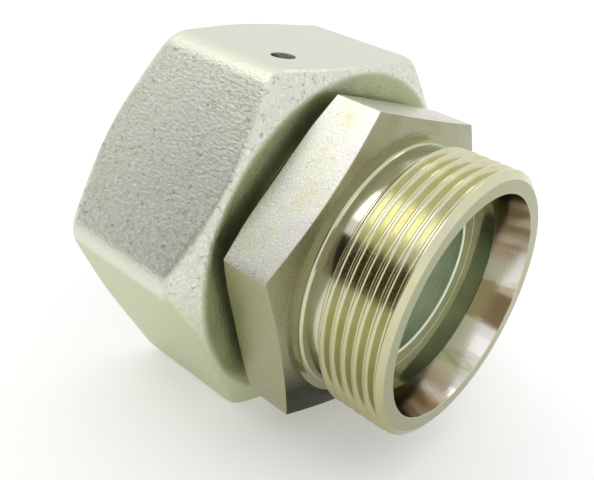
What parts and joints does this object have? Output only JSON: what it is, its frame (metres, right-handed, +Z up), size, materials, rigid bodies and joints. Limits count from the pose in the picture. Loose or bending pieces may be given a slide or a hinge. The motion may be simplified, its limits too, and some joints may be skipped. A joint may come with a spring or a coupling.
{
  "type": "swivel nut adapter fitting",
  "caption": "Plated steel adapter fitting with a hexagon body, a threaded stud with a cone tube socket, and a wire-held swivel nut over a cone nose.",
  "frame": {"origin": "on the fitting's axis, on the face of the body's hexagon that the stud leaves", "axes": "+X along the axis out of the stud, +Z up from the nut flat that the fitting lies on"},
  "size_m": [0.0552, 0.0684, 0.06],
  "materials": {
    "turned_steel": "turned, zinc plated with a yellow-green passivate",
    "forged_steel": "forged and blasted, zinc plated with a yellow-green passivate",
    "spring_wire": "drawn, bare",
    "ring_rubber": "moulded"
  },
  "bodies": {
    "body": {"fitting_body": "turned_steel", "sealing_ring": "ring_rubber"},
    "nut": {"swivel_nut": "forged_steel", "retaining_wire": "spring_wire"}
  },
  "joints": [
    {"name": "nut_swivel", "type": "hinge", "parent": "body", "child": "nut", "pos_m": [-0.0257, 0, 0], "axis": [1, 0, 0], "continuous": true}
  ]
}
